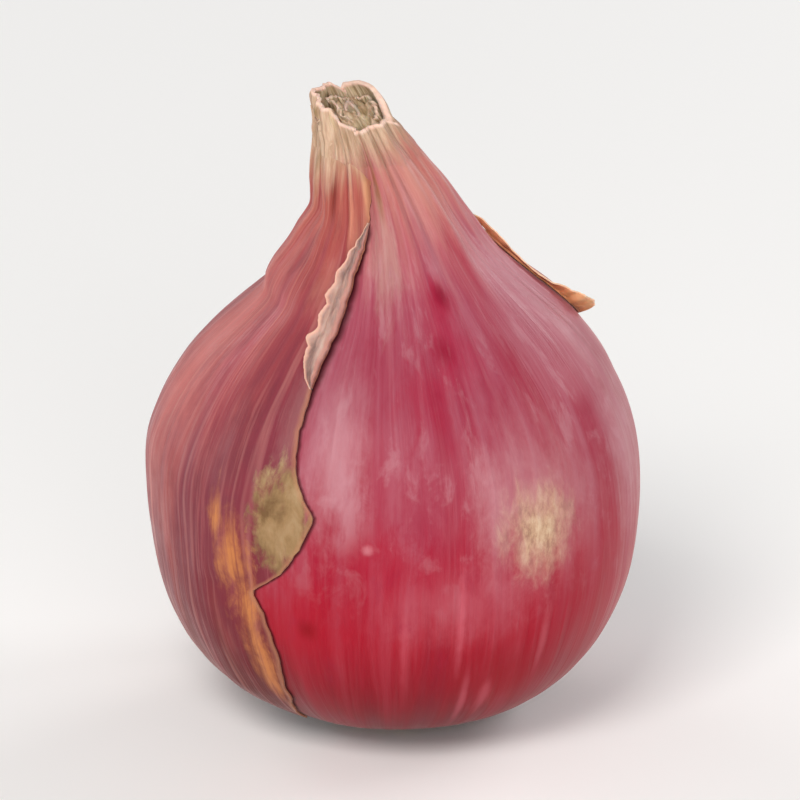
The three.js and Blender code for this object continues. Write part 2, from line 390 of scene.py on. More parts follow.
def painted(tree, colour, spots):
    """Lays patches over a colour, each (place, size, share, six hex digits, ragged, soft)."""
    for place, size, share, code, ragged, soft in spots:
        mask = spot(tree, place, size, ragged, soft)
        colour = mixed(tree, maths(tree, "MULTIPLY", mask, share), colour, srgb(code))
    return colour


def height_share(tree):
    """The height up the shallot, from 0 at the root to 1 at the crown's top."""
    parts = tree.nodes.new("ShaderNodeSeparateXYZ")
    tree.links.new(tree.nodes.new("ShaderNodeTexCoord").outputs["Object"], parts.inputs[0])
    return maths(tree, "DIVIDE", parts.outputs["Z"], FULL_HEIGHT * MM)


def new_material(name):
    """A material and its tree, with the Principled shader that is already in it."""
    material = bpy.data.materials.new(name)
    material.use_nodes = True
    return material, material.node_tree, material.node_tree.nodes["Principled BSDF"]


def bumped(tree, shader, height, depth):
    """Feeds a height between 0 and 1 to the shader's normal, depth metres deep."""
    bump = tree.nodes.new("ShaderNodeBump")
    bump.inputs["Distance"].default_value = depth
    tree.links.new(height, bump.inputs["Height"])
    tree.links.new(bump.outputs[0], shader.inputs["Normal"])


def satin(shader, scatter_radius, scatter_depth):
    """The soft gloss and the faint glow that both onion skins have."""
    for name, value in (
        ("Subsurface Weight", 0.06), ("Subsurface Radius", scatter_radius),
        ("Subsurface Scale", scatter_depth), ("Specular IOR Level", 0.18),
        ("Specular Tint", (1.0, 0.72, 0.74, 1.0)), ("Sheen Weight", 0.2),
        ("Sheen Roughness", 0.3), ("Sheen Tint", (1.0, 0.62, 0.6, 1.0)),
    ):
        shader.inputs[name].default_value = value


def living_skin(tree, grain):
    """The living skin from crimson at the root to rose brown at the neck's top, with pale
    lilac-grey bands and deep crimson ones between the fibres."""
    height = height_share(tree)
    wobble = maths(tree, "MULTIPLY", maths(tree, "SUBTRACT", grain["Streaks"], 0.5), 0.22)
    colour = ramp(tree, maths(tree, "ADD", height, wobble), [
        (0.03, "5C030F"), (0.12, "7E0618"), (0.24, "980C22"), (0.35, "9A162E"), (0.46, "962A3E"),
        (0.6, "96364A"), (0.71, "9E4658"), (0.79, "A8585E"), (0.87, "B06860"), (0.95, "B47C68"),
    ])
    upper = remapped(tree, height, 0.22, 0.5, 0.2, 1.0)
    pale = maths(tree, "MULTIPLY", remapped(tree, grain["Bands"], 0.5, 0.75), upper)
    colour = mixed(tree, maths(tree, "MULTIPLY", pale, 0.4), colour, srgb("AA6E7C"))
    deep = remapped(tree, grain["Bands"], 0.5, 0.3)
    colour = mixed(tree, maths(tree, "MULTIPLY", deep, 0.35), colour, srgb("921228"))
    fading = remapped(tree, height, 0.1, 0.55, 0.3, 1.0)
    soft_streak = maths(tree, "MULTIPLY", remapped(tree, grain["Streaks"], 0.46, 0.72, 0.0, 0.24), fading)
    colour = mixed(tree, soft_streak, colour, srgb("B07480"))
    dark_streak = remapped(tree, grain["Streaks"], 0.52, 0.3, 0.0, 0.26)
    colour = mixed(tree, dark_streak, colour, srgb("86142C"))
    pale_fibre = maths(tree, "MULTIPLY", remapped(tree, grain["Fine"], 0.4, 0.85, 0.0, 0.12), fading)
    colour = mixed(tree, pale_fibre, colour, srgb("BE8690"))
    veins = maths(tree, "MULTIPLY", grain["Veins"], remapped(tree, height, 0.15, 0.85, 0.02, 0.18))
    return mixed(tree, veins, colour, srgb("C48890"))


def dried(tree, grain, colour):
    """Fades a colour to straw at the neck's top, from lower down on its left."""
    place = tree.nodes.new("ShaderNodeTexCoord").outputs["Object"]
    level = tree.nodes.new("ShaderNodeVectorMath")
    level.operation = "DOT_PRODUCT"
    tree.links.new(place, level.inputs[0])
    level.inputs[1].default_value = (-0.55 / MM, 0, 1 / MM)
    wobble = maths(tree, "MULTIPLY", maths(tree, "SUBTRACT", grain["Streaks"], 0.5), 5.0)
    dryness = remapped(tree, maths(tree, "ADD", level.outputs["Value"], wobble), 41.7, 45.6)
    straw = ramp(tree, grain["Mottle"], [(0.36, "9C7E60"), (0.5, "B8967C"), (0.64, "CEB096")])
    return mixed(tree, dryness, colour, straw)


# The neck's tones reach up into the leaf ends of the crown.
NECK_TONES = [
    ((45, 40.5), (45, 4.5), 0.5, "C48C80", 0.4, 1.0), ((-2, 40.2), (5, 2.6), 0.8, "84501F", 0.15, 0.9),
]
bulb_skin, tree, shader = new_material("bulb_skin")
grain = placed(tree, FIBRES, Shift=0.0)
# Of the patches below, the pale lilac ones at (-15, 24.5) and (-11, 21) are a painted sheen highlight right
# of the split, and the pale one at (74, 22) is a painted highlight along the right outline.
colour = painted(tree, living_skin(tree, grain), NECK_TONES + [
    ((-15, 24.5), (12, 7.5), 0.6, "BC8A92", 0.2, 1.0), ((-11, 21.0), (7, 4.5), 0.3, "C0949C", 0.3, 1.0),
    ((-2, 36.5), (16, 5.5), 0.6, "B48E84", 0.4, 1.0), ((37, 20.5), (25, 9.0), 0.5, "BC8C90", 0.2, 1.0),
    ((50, 31), (16, 4.5), 0.2, "A4707A", 0.45, 1.0), ((74, 22), (15, 9), 0.4, "C69AA0", 0.25, 1.0),
    ((22, 22.0), (7, 5.0), 0.35, "BE8C92", 0.3, 1.0),
    ((16, 14.0), (30, 4.5), 0.2, "C8808C", 0.25, 1.0),
    ((9, 28.5), (12, 4.0), 0.5, "9C1C38", 0.5, 0.95), ((22, 31.5), (12, 4.5), 0.55, "A01E3E", 0.4, 0.95),
    ((6, 21.0), (9, 6.5), 0.75, "901C36", 0.35, 0.95), ((57, 27), (9, 4.0), 0.3, "98243E", 0.5, 0.95),
    ((0, 17.0), (15, 3.5), 0.6, "9A0A28", 0.5, 0.95), ((-22, 12), (17, 5.5), 0.6, "A00A22", 0.4, 0.95),
    ((27, 7.5), (18, 3.5), 0.6, "8C0616", 0.5, 0.95), ((48, 12), (10, 5.5), 0.5, "98142A", 0.5, 0.95),
])
fleck = remapped(tree, grain["Mottle"], 0.54, 0.78)
colour = mixed(tree, maths(tree, "MULTIPLY", fleck, 0.4), colour, srgb("8E1A34"))
upper = remapped(tree, height_share(tree), 0.2, 0.5)
cloud = maths(tree, "MULTIPLY", remapped(tree, grain["Mottle"], 0.47, 0.3), upper)
colour = mixed(tree, maths(tree, "MULTIPLY", cloud, 0.34), colour, srgb("B8848C"))
# A few forked pale veins low on the front, bruised crimson spots and a pale pinprick
colour = painted(tree, colour, [
    ((15.5, 12.5), (1.6, 6.0), 0.3, "D4707E", 0.16, 0.95),
    ((18.5, 5.5), (1.8, 4.5), 0.28, "D4707E", 0.16, 0.95),
    ((24.5, 6.0), (2.6, 2.4), 0.3, "CC6472", 0.25, 0.95), ((2, 11), (1.5, 5.0), 0.2, "CC6472", 0.2, 0.95),
    ((38, 10), (1.6, 4.0), 0.2, "D07C86", 0.25, 0.95), ((24, 33.6), (11, 2.0), 0.6, "9C1434", 0.15, 0.95),
    ((24, 33.8), (5.5, 1.1), 0.75, "7C0826", 0.1, 0.95), ((18, 30.8), (6, 1.2), 0.7, "880C2A", 0.15, 0.95),
    ((-21, 11.9), (4.0, 1.2), 0.75, "80000E", 0.1, 0.95),
    ((-6.6, 18.4), (1.8, 0.5), 0.35, "D898A0", 0.3, 1.0),
])
tan = spot(tree, (35.5, 18.7), (13, 4.8), 0.3, 1.0)
tan_place = stretched(tree, attribute(tree, "fibre").outputs["Vector"], (1, 1, 0.6))
tan_grain = grainy(tree, tan_place, 1.6, 4, 0.65)
tan_tone = ramp(tree, tan_grain, [(0.36, "9C7A62"), (0.5, "BC9A7C"), (0.66, "CCB294")])
colour = mixed(tree, maths(tree, "MULTIPLY", tan, 0.95), colour, tan_tone)
# A painted shadow in the narrow gap beside the torn edge, wider about 27 to 37 mm up, beside the curled
# edge.
from_tear = attribute(tree, "tear").outputs["Fac"]
height = height_share(tree)
wide_shadow_span = maths(tree, "MULTIPLY", remapped(tree, height, 0.57, 0.63), remapped(tree, height, 0.8, 0.72))
shadow_width = maths(tree, "ADD", 0.38, maths(tree, "MULTIPLY", wide_shadow_span, 0.3))
painted_gap_shadow = remapped(tree, from_tear, 0.08, shadow_width, 0.85, 0.0)
colour = mixed(tree, painted_gap_shadow, colour, srgb("3C060C"))
colour = dried(tree, grain, colour)
tree.links.new(colour, shader.inputs["Base Color"])
rough = remapped(tree, grain["Streaks"], 0.3, 0.7, 0.36, 0.5)
rough = maths(tree, "ADD", rough, maths(tree, "MULTIPLY", tan, 0.2))
tree.links.new(rough, shader.inputs["Roughness"])
satin(shader, (1.0, 0.2, 0.15), 0.001)
wrinkled = maths(tree, "MULTIPLY", maths(tree, "MULTIPLY", tan, grain["Mottle"]), 1.5)
bumped(tree, shader, maths(tree, "ADD", grain["Relief"], wrinkled), 0.0001)

bm = bmesh.new()
rings = BULB_RINGS_PER_SPAN * (len(BELLY_AND_NECK) - 1)
share_of_neck = (len(BELLY_AND_NECK) - 1) / (len(OUTLINE) - 1)
wall = [tuple(outline_at(share_of_neck * i / rings)) for i in range(rings + 1)]
profile = [bm.verts.new((r, 0, z)) for r, z in UNDERSIDE + wall + NECK_HOLLOW]
spokes = [bm.edges.new(pair) for pair in zip(profile, profile[1:])]
bmesh.ops.spin(
    bm, geom=profile + spokes, cent=(0, 0, 0), axis=(0, 0, 1), angle=2 * math.pi, steps=BULB_SEGMENTS,
    use_merge=True,
)
bmesh.ops.remove_doubles(bm, verts=bm.verts, dist=0.0005)
bmesh.ops.recalc_face_normals(bm, faces=bm.faces)
fibre_layer = bm.verts.layers.float_vector.new("fibre")
tear_layer = bm.verts.layers.float.new("tear")
for vert in bm.verts:
    x, y, z = vert.co
    radius = math.hypot(x, y)
    angle = math.atan2(x, -y)
    vert[fibre_layer] = fibre_place(angle, z)
    vert[tear_layer] = max(0.0, (angle - front_tear(z)) * radius) + smoothstep(z, 37.5, 40)
    if angle < front_tear(z):
        vert[tear_layer] = 0.0 if angle > math.radians(-120) else 9.0
    vert.co = on_bulb(angle, radius, z, body_relief(angle, z) * min(1.0, radius / 6))
make_piece(bm, "bulb_body", bulb_skin, "bulb")

# The outer skin
# A dry, papery skin that came loose from the bulb. It has split down the front left and
# still wraps the left side and the back, up into the crown. It is a thin sheet between
# two torn edges, which stand off the bulb a little where they dried.
BACK_TEAR = [
    (1.5, -205), (5, -212), (10, -224), (15, -215), (20, -226), (24, -222), (27, -235),
    (28.5, -253), (30, -259), (33, -261), (35.5, -256), (37, -238), (39.5, -226),
    (42, -216), (44, -195),
]
WHOLE_FROM = math.radians(-64)
WHOLE_TO = math.radians(-190)
SKIN_COLUMNS = 230
SKIN_ROWS = 180
SKIN_FOOT_SHARE = 0.1
SKIN_TOP_SHARE = 0.965
SKIN_THICKNESS = 0.16
EDGE_GAP = 0.14
LOOSE_GAP = 0.78
LOOSE_FROM = 6.0
FRONT_PART = 0.2
BACK_PART = 0.75
SKIN_LENGTH = 40
TOP_RAGGEDNESS = 0.012
FRONT_EDGE_LIFT = 0.3
BACK_EDGE_LIFT = 0.15


def back_tear(z):
    """The angle of the torn rear edge at a height, with its frays."""
    frays = sum(size * noise.noise(Vector((z * waves, 8.3, 2))) for waves, size in TEAR_JITTER)
    across = max(3.0, outline_radius(z))
    return math.radians(read_along(BACK_TEAR, z)) + 2 * frays / across


def skin_angle(across, z):
    """The angle at a share of the way across the skin, from its front edge to its back one."""
    if across < FRONT_PART:
        share = (across / FRONT_PART) ** 1.3
        return front_tear(z) + (WHOLE_FROM - front_tear(z)) * share
    if across > BACK_PART:
        share = (across - BACK_PART) / (1 - BACK_PART)
        return WHOLE_TO + (back_tear(z) - WHOLE_TO) * share
    return WHOLE_FROM + (WHOLE_TO - WHOLE_FROM) * (across - FRONT_PART) / (BACK_PART - FRONT_PART)


def skin_point(across, along):
    """A point of the skin in mm, with its angle, height and distance from the torn edge."""
    ragged_top = TOP_RAGGEDNESS * math.sin(23 * across)
    ragged_top += TOP_RAGGEDNESS * noise.noise(Vector((across * 40, 0, 5)))
    share = SKIN_FOOT_SHARE + (SKIN_TOP_SHARE + ragged_top - SKIN_FOOT_SHARE) * along
    radius, z = outline_at(share)
    behind = outline_at(share - 0.004)
    ahead = outline_at(share + 0.004)
    tilt = math.atan2(behind[0] - ahead[0], ahead[1] - behind[1])
    angle = skin_angle(across, z)
    from_front = (front_tear(z) - angle) * radius
    from_back = (angle - back_tear(z)) * radius
    from_foot = along * SKIN_LENGTH
    inside = min(smoothstep(from_front, 0, LOOSE_FROM), smoothstep(from_back, 0, LOOSE_FROM))
    inside = min(inside, smoothstep(from_foot, 0, LOOSE_FROM))
    loose = LOOSE_GAP * (1 - 0.75 * smoothstep(z, 36, 42))
    edge_gap = EDGE_GAP * (1 - 0.85 * smoothstep(z, 37, 40))
    lift = edge_gap + (loose - edge_gap) * inside
    front_span = smoothstep(z, 25, 30) * (1 - smoothstep(z, 37, 40))
    lift += FRONT_EDGE_LIFT * max(0.0, 1 - from_front / 1.4) ** 2 * front_span
    back_span = smoothstep(z, 26, 29) * (1 - smoothstep(z, 35, 38))
    lift += BACK_EDGE_LIFT * max(0.0, 1 - from_back / 2.0) ** 2 * back_span
    lift += 0.07 * round_noise(angle, z, 9, 0.06, 21.0)
    lift += 0.10 * round_noise(angle, z, 3.5, 0.22, 33.0) * inside
    edge = min(from_front, from_back, from_foot + 0.4)
    return on_bulb(angle, radius, z, lift, tilt), angle, z, edge


dry_skin, tree, shader = new_material("dry_skin")
grain = placed(tree, FIBRES, Shift=11.0)
wobble = maths(tree, "MULTIPLY", maths(tree, "SUBTRACT", grain["Streaks"], 0.5), 0.4)
colour = ramp(tree, maths(tree, "ADD", height_share(tree), wobble), [
    (0.05, "5A201C"), (0.2, "6E262E"), (0.38, "762C38"), (0.55, "7E323E"), (0.68, "923E44"),
    (0.78, "9A4440"), (0.87, "A2564A"), (0.95, "B07058"),
])
salmon = remapped(tree, grain["Bands"], 0.5, 0.72)
colour = mixed(tree, maths(tree, "MULTIPLY", salmon, 0.4), colour, srgb("B45A50"))
brown = remapped(tree, grain["Mottle"], 0.5, 0.72)
colour = mixed(tree, maths(tree, "MULTIPLY", brown, 0.4), colour, srgb("6A2E36"))
# The salmon patch at (-82, 28) on the left shoulder is partly the skin's own salmon and partly a painted
# highlight from the left.
colour = painted(tree, colour, [
    ((-82, 28), (27, 11), 0.75, "BA625C", 0.3, 0.95), ((-58, 29), (10, 5.5), 0.45, "AE4C5A", 0.5, 0.95),
    ((-150, 22), (30, 10), 0.5, "B86A50", 0.6, 0.95), ((-205, 30), (38, 6), 0.6, "BC7C54", 0.7, 0.95),
    ((-110, 10), (31, 6), 0.5, "A4583A", 0.7, 0.95), ((-258, 31), (22, 6), 0.8, "C88450", 0.4, 0.95),
    ((-44, 23), (17, 7), 0.6, "6E303A", 0.5, 0.95), ((-28, 26), (6, 6), 0.5, "966464", 0.5, 1.0),
    ((-53, 26), (9, 4.5), 0.6, "8C2A38", 0.4, 1.0), ((-38, 34), (8, 3), 0.4, "BC7A6C", 0.4, 1.0),
    ((-22, 37), (9, 4), 0.4, "B8866C", 0.3, 1.0),
])
streak_light = remapped(tree, grain["Streaks"], 0.54, 0.74)
colour = mixed(tree, maths(tree, "MULTIPLY", streak_light, 0.3), colour, srgb("C8766E"))
pale_fibre = remapped(tree, grain["Fine"], 0.52, 0.75)
colour = mixed(tree, maths(tree, "MULTIPLY", pale_fibre, 0.2), colour, srgb("C8847C"))
colour = mixed(tree, maths(tree, "MULTIPLY", grain["Veins"], 0.2), colour, srgb("D4948A"))
# Pleats at the neck: pale peach ridges with terracotta and brown-orange grooves between them, partly their
# own tones and partly a painted highlight on the ridges and painted shade in the grooves
colour = painted(tree, colour, [
    ((-12, 41.0), (4, 2.8), 0.7, "DCA078", 0.2, 0.9), ((-29, 39.0), (5, 3.5), 0.6, "D88C70", 0.2, 0.9),
    ((-46, 40.0), (6, 3.2), 0.85, "762A22", 0.2, 0.9), ((-20, 38.5), (4, 3.5), 0.6, "94403A", 0.2, 0.9),
    ((-62, 39.0), (5, 3.5), 0.5, "D08470", 0.2, 0.9), ((-5, 40.0), (4.5, 2.8), 0.85, "8E5428", 0.15, 0.9),
])
olive = spot(tree, (-27, 19.8), (9.5, 4.6), 0.45, 0.5)
olive_tone = ramp(tree, grain["Mottle"], [(0.35, "6C5434"), (0.52, "947852"), (0.68, "AA8E6A")])
colour = mixed(tree, maths(tree, "MULTIPLY", olive, 0.92), colour, olive_tone)
orange = 0.0
for place, size in (
    ((-45, 19.0), (3, 3)), ((-39.5, 16.6), (7, 4.2)), ((-37.5, 13.2), (6, 3.8)), ((-35, 8.5), (5, 5)),
):
    orange = maths(tree, "MAXIMUM", orange, spot(tree, place, size, 0.5, 1.0))
orange = maths(tree, "MULTIPLY", orange, remapped(tree, grain["Fine"], 0.34, 0.56, 0.5, 1.0))
colour = mixed(tree, orange, colour, srgb("BC7644"))
dry_edge = remapped(tree, attribute(tree, "edge").outputs["Fac"], 0.05, 0.5, 1.0, 0.0)
colour = mixed(tree, maths(tree, "MULTIPLY", dry_edge, 0.5), colour, srgb("B07C5C"))
colour = dried(tree, grain, colour)
tree.links.new(colour, shader.inputs["Base Color"])
rough = remapped(tree, grain["Mottle"], 0.3, 0.7, 0.4, 0.58)
tree.links.new(maths(tree, "ADD", rough, maths(tree, "MULTIPLY", olive, 0.15)), shader.inputs["Roughness"])
satin(shader, (1.0, 0.3, 0.2), 0.0006)
wrinkled = maths(tree, "MULTIPLY", grain["Mottle"], maths(tree, "ADD", 0.3, olive))
bumped(tree, shader, maths(tree, "ADD", grain["Relief"], wrinkled), 0.00016)

bm = bmesh.new()
bmesh.ops.create_grid(bm, x_segments=SKIN_COLUMNS, y_segments=SKIN_ROWS, size=0.5)
fibre_layer = bm.verts.layers.float_vector.new("fibre")
edge_layer = bm.verts.layers.float.new("edge")
for vert in bm.verts:
    point, angle, z, edge = skin_point(0.5 - vert.co.x, vert.co.y + 0.5)
    vert[fibre_layer] = fibre_place(angle, z)
    vert[edge_layer] = edge
    vert.co = point
skin = make_piece(bm, "outer_skin_sheet", dry_skin, "outer_skin")


def give_thickness(piece, thickness):
    """A live wall on the inner side of a thin sheet."""
    wall = piece.modifiers.new("wall", "SOLIDIFY")
    wall.thickness = thickness * MM
    wall.offset = -1


give_thickness(skin, SKIN_THICKNESS)

# The rolled edges
# Beside the split, and over the right shoulder, the torn skin has rolled back on itself and
# shows its pale, papery inner side. Each roll is a narrow tapering strip along its tear.
CURL_WIDTH = [
    (28.3, 0.0), (28.8, 0.7), (29.6, 1.35), (30.7, 1.8), (32.8, 1.6), (34.2, 1.4), (36.2, 0.9),
    (38.4, 0.1),
]
CURL_FOLD = 0.34
FLAP_WIDTH = [
    (27.9, 0.02), (28.1, 0.6), (28.5, 1.05), (29.1, 1.3), (29.8, 1.2), (30.5, 0.8), (31.3, 0.4),
    (32.2, 0.18), (33.4, 0.15), (34.3, 0.3), (35.2, 0.42), (36.0, 0.3), (36.8, 0.02),
]
ROLL_COLUMNS = 18
ROLL_ROWS = 120
ROLL_THICKNESS = 0.1


def rolled_material(name, shift, stops, fold_code, rim_code, top_shade_code="FFFFFF", top_shade_share=0.0):
    """Paper in the tones given by (place, hex) stops, with its own fold and rim, and painted shade over its
    upper part.
    """
    material, tree, shader = new_material(name)
    grain = placed(tree, FIBRES, Shift=shift)
    across = attribute(tree, "across").outputs["Fac"]
    colour = ramp(tree, grain["Mottle"], stops)
    # The upper part is darkened as painted shade, by the last two arguments.
    painted_top_shade = remapped(tree, height_share(tree), 0.64, 0.68, 0.0, top_shade_share)
    colour = mixed(tree, painted_top_shade, colour, srgb(top_shade_code))
    colour = mixed(tree, remapped(tree, across, 0.1, 0.28, 0.6, 0.0), colour, srgb(fold_code))
    colour = mixed(tree, remapped(tree, across, 0.8, 0.95, 0.0, 0.85), colour, srgb(rim_code))
    tree.links.new(colour, shader.inputs["Base Color"])
    tree.links.new(remapped(tree, grain["Mottle"], 0.3, 0.7, 0.5, 0.7), shader.inputs["Roughness"])
    shader.inputs["Specular IOR Level"].default_value = 0.3
    shader.inputs["Subsurface Weight"].default_value = 0.2
    shader.inputs["Subsurface Scale"].default_value = 0.0006
    bumped(tree, shader, grain["Mottle"], 0.00015)
    return material


def rolled_edge(name, material, widths, roll_point):
    """A strip along a tear. roll_point gives (angle, lift) at a share across and a height."""
    bm = bmesh.new()
    bmesh.ops.create_grid(bm, x_segments=ROLL_COLUMNS, y_segments=ROLL_ROWS, size=0.5)
    fibre_layer = bm.verts.layers.float_vector.new("fibre")
    across_layer = bm.verts.layers.float.new("across")
    for vert in bm.verts:
        across = 0.5 - vert.co.x
        z = widths[0][0] + (widths[-1][0] - widths[0][0]) * (vert.co.y + 0.5)
        radius = outline_radius(z)
        frays = 0.25 * noise.noise(Vector((z * 1.5, 0, 9))) + 0.05 * noise.noise(Vector((z * 5, 0, 2)))
        width = read_along(widths, z) * (1 + frays * across)
        angle, lift = roll_point(across, width, z, radius)
        vert[fibre_layer] = fibre_place(angle, z)
        vert[across_layer] = across
        vert.co = on_bulb(angle, radius, z, lift, 0.6)
    piece = make_piece(bm, name, material)
    give_thickness(piece, ROLL_THICKNESS)


def front_roll(across, width, z, radius):
    """The roll beside the split, folded back flat over the skin."""
    fold = CURL_FOLD * min(1.0, width / 0.8) * math.sin(math.pi * min(1.0, across * 1.6) ** 0.6)
    crumple = 0.08 * noise.noise(Vector((z * 1.3, across * 3, 2)))
    tip = 0.2 * smoothstep(across, 0.75, 1.0) * min(1.0, width)
    return front_tear(z) - (across * width - 0.05) / radius, EDGE_GAP + 0.3 + fold + crumple + tip


def shoulder_roll(across, width, z, radius):
    """The roll on the shoulder, which stands up from the bulb."""
    crumple = 0.12 * across * noise.noise(Vector((z * 1.1, across * 2, 6)))
    lean = (0.15 * width * math.sin(math.pi * across) - 0.1 + 0.5 * across) / radius
    return back_tear(z) - lean, EDGE_GAP + 0.15 + width * across**0.85 + crumple


curl_paper = rolled_material(
    "curl_paper", 23.0, [(0.34, "684E4A"), (0.46, "92726A"), (0.56, "B48E82"), (0.7, "C6A496")],
    "BC7A70", "E4B09C",
)
# On the flap the upper part, nearer the neck, gets painted shade, where the standing strip shows its inner
# side turned from the light.
flap_paper = rolled_material(
    "flap_paper", 37.0, [(0.34, "C08458"), (0.48, "D49C6C"), (0.6, "DEAC80"), (0.72, "E8BC94")],
    "B47450", "EEC4A4", "A45C48", 0.6,
)
rolled_edge("curled_edge", curl_paper, CURL_WIDTH, front_roll)
rolled_edge("shoulder_flap", flap_paper, FLAP_WIDTH, shoulder_roll)

# The crown
# The dried leaf bases at the neck's top, where the leaves were cut: crumpled papery ends,
# straw and cream, with olive hollows between them, whose darkest pits on the left are partly
# painted shade. A smooth hood stands at the back right, a crinkled bunch on the left and a low
# lip in front. They all grow out of the neck.
LEAF_FOOT = 40.4
NECK_LEVEL = 42.6
CROWN_RADIUS = 2.35
LEAF_COLUMNS = 110
LEAF_ROWS = 40
LEAF_THICKNESS = 0.22
RIM_DEPTH = 0.35
RIM_SLOPE = 0.05
TUCK = 0.45
FREE_FROM = 43
BESIDE_NECK = 1.9
# Angles in degrees and lengths in mm. tops gives the height at each share of the way across.
LEAF_ENDS = [
    dict(start=66, end=206, radius=2.35, flare=0.35, roll=0.35, torn=0.03, crumple=0.05, seed=3, inner=0,
         smooth=1, wall=0.4,
         tops=[(0, 44.2), (0.1, 44.9), (0.22, 46.1), (0.36, 46.7), (0.6, 46.85), (0.85, 46.6), (1, 45.6)]),
    dict(start=-174, end=-6, radius=2.25, flare=0.1, roll=0.3, torn=0.22, crumple=0.25, seed=19, inner=0,
         tops=[(0, 46.2), (0.12, 46.7), (0.3, 46.7), (0.52, 46.6), (0.7, 46.0), (0.85, 45.3), (1, 44.5)]),
    dict(start=-185, end=-10, radius=1.4, flare=0.1, roll=0.1, torn=0.35, crumple=0.5, seed=23, inner=0.6,
         plain=0.18, tops=[(0, 45.6), (0.4, 46.2), (0.7, 46.0), (1, 44.8)]),
    dict(start=-20, end=78, radius=2.35, flare=0.15, roll=0.15, torn=0.06, crumple=0.1, seed=47, inner=0,
         tops=[(0, 44.25), (0.1, 44.35), (0.3, 44.65), (0.6, 44.9), (0.85, 44.9), (1, 44.5)]),
    dict(start=100, end=265, radius=0.5, flare=0.15, roll=0.05, torn=0.06, crumple=0.08, seed=59,
         inner=0.1, centre=(-0.15, -0.45),
         tops=[(0, 44.6), (0.2, 45.6), (0.5, 46.0), (0.8, 45.6), (1, 44.6)]),
    dict(start=46, end=192, radius=1.7, flare=0.2, roll=0.2, torn=0.3, crumple=0.4, seed=71, inner=0.7,
         plain=0.18, tops=[(0, 44.5), (0.3, 45.5), (0.6, 45.9), (1, 45.6)]),
]

crown_paper, tree, shader = new_material("crown_paper")
grain = placed(tree, FIBRES, Shift=0.0)
colour = dried(tree, grain, painted(tree, living_skin(tree, grain), NECK_TONES))
inside = attribute(tree, "inside").outputs["Fac"]
hollow_tone = ramp(tree, grain["Mottle"], [(0.38, "927C58"), (0.5, "C0AA88"), (0.62, "DAC6AA")])
colour = mixed(tree, maths(tree, "MULTIPLY", inside, 0.85), colour, hollow_tone)
rim = remapped(tree, attribute(tree, "below_top").outputs["Fac"], RIM_DEPTH, 0.08)
colour = mixed(tree, maths(tree, "MULTIPLY", rim, 0.9), colour, srgb("F4CEBC"))
# The two dark olive spots at (-68, 45.5) and (-74, 44.1) are partly an olive tone and partly painted shade
# in the pits between the crumpled folds.
colour = painted(tree, colour, [
    ((-68, 45.5), (12, 0.7), 0.85, "80683C", 0.15, 0.8), ((-74, 44.1), (9, 0.6), 0.85, "765640", 0.15, 0.8),
    ((-42, 45.2), (8, 1.3), 0.7, "DCC09C", 0.15, 0.9), ((125, 45.5), (22, 1.1), 0.6, "A6A088", 0.2, 0.9),
])
tree.links.new(colour, shader.inputs["Base Color"])
tree.links.new(remapped(tree, grain["Mottle"], 0.3, 0.7, 0.55, 0.75), shader.inputs["Roughness"])
shader.inputs["Specular IOR Level"].default_value = 0.3
shader.inputs["Subsurface Weight"].default_value = 0.12
shader.inputs["Subsurface Scale"].default_value = 0.0005
bumped(tree, shader, maths(tree, "ADD", grain["Relief"], grain["Mottle"]), 0.0002)

for number, leaf in enumerate(LEAF_ENDS, 1):
    bm = bmesh.new()
    bmesh.ops.create_grid(bm, x_segments=LEAF_COLUMNS, y_segments=LEAF_ROWS, size=0.5)
    fibre_layer = bm.verts.layers.float_vector.new("fibre")
    inside_layer = bm.verts.layers.float.new("inside")
    below_layer = bm.verts.layers.float.new("below_top")
    seed = leaf["seed"]
    aside, ahead = leaf.get("centre", (0, 0))
    for vert in bm.verts:
        across, up = vert.co.x + 0.5, vert.co.y + 0.5
        angle = math.radians(leaf["start"] + (leaf["end"] - leaf["start"]) * across)
        torn = noise.noise(Vector((across * 7, seed, 0)))
        torn += 0.6 * noise.noise(Vector((across * 19, seed, 4)))
        top = read_along(leaf["tops"], across) + leaf["torn"] * torn
        z = LEAF_FOOT + (top - LEAF_FOOT) * up
        free = max(0.0, (z - FREE_FROM) / (top - FREE_FROM))
        base = leaf["radius"]
        if base > BESIDE_NECK:
            neck = on_bulb(angle, outline_radius(z), z)
            sunk = (neck - Vector((neck_bow(z), 0, 0))).xy.length
            sunk += 0.4 * smoothstep(z, LEAF_FOOT, NECK_LEVEL) - 0.35
            open_out = sunk + (base - CROWN_RADIUS) * smoothstep(z, 43.5, 45)
            base = open_out + (base - open_out) * leaf.get("smooth", 0) * smoothstep(z, 43.6, 45.2)
        crumple = leaf["crumple"] * free * noise.noise(Vector((across * 5, z * 0.9, seed)))
        crumple += 0.6 * leaf["crumple"] * free * noise.noise(Vector((across * 15, z * 1.2, seed)))
        r = base + leaf["flare"] * free**1.5 - leaf["roll"] * free**6 + crumple
        r -= TUCK * (1 - smoothstep(across, 0, 0.14))
        vert[fibre_layer] = fibre_place(angle, z)
        vert[inside_layer] = leaf["inner"]
        vert[below_layer] = top - z + leaf.get("plain", 0)
        vert.co = (neck_bow(z) + aside + r * math.sin(angle), ahead - r * math.cos(angle), z)
    # The inner wall is moved straight inwards, so that it never cuts through a pleat.
    outer_side = len(bm.verts)
    bmesh.ops.solidify(bm, geom=bm.verts[:] + bm.edges[:] + bm.faces[:], thickness=0)
    bm.verts.ensure_lookup_table()
    for vert in bm.verts[outer_side:]:
        outwards = vert.co - Vector((neck_bow(vert.co.z) + aside, ahead, vert.co.z))
        vert.co -= outwards.normalized() * leaf.get("wall", LEAF_THICKNESS)
        vert.co.z -= RIM_SLOPE
        vert[inside_layer] = 1.0
    make_piece(bm, f"leaf_end_{number}", crown_paper)

# The heart of the crown: the innermost leaf bases, dried and pressed together into creases
HEART_RADIUS = 2.2
HEART_HEIGHT = 45.1
HEART_SLOPE = 0.27
HEART_CREASES = 0.9

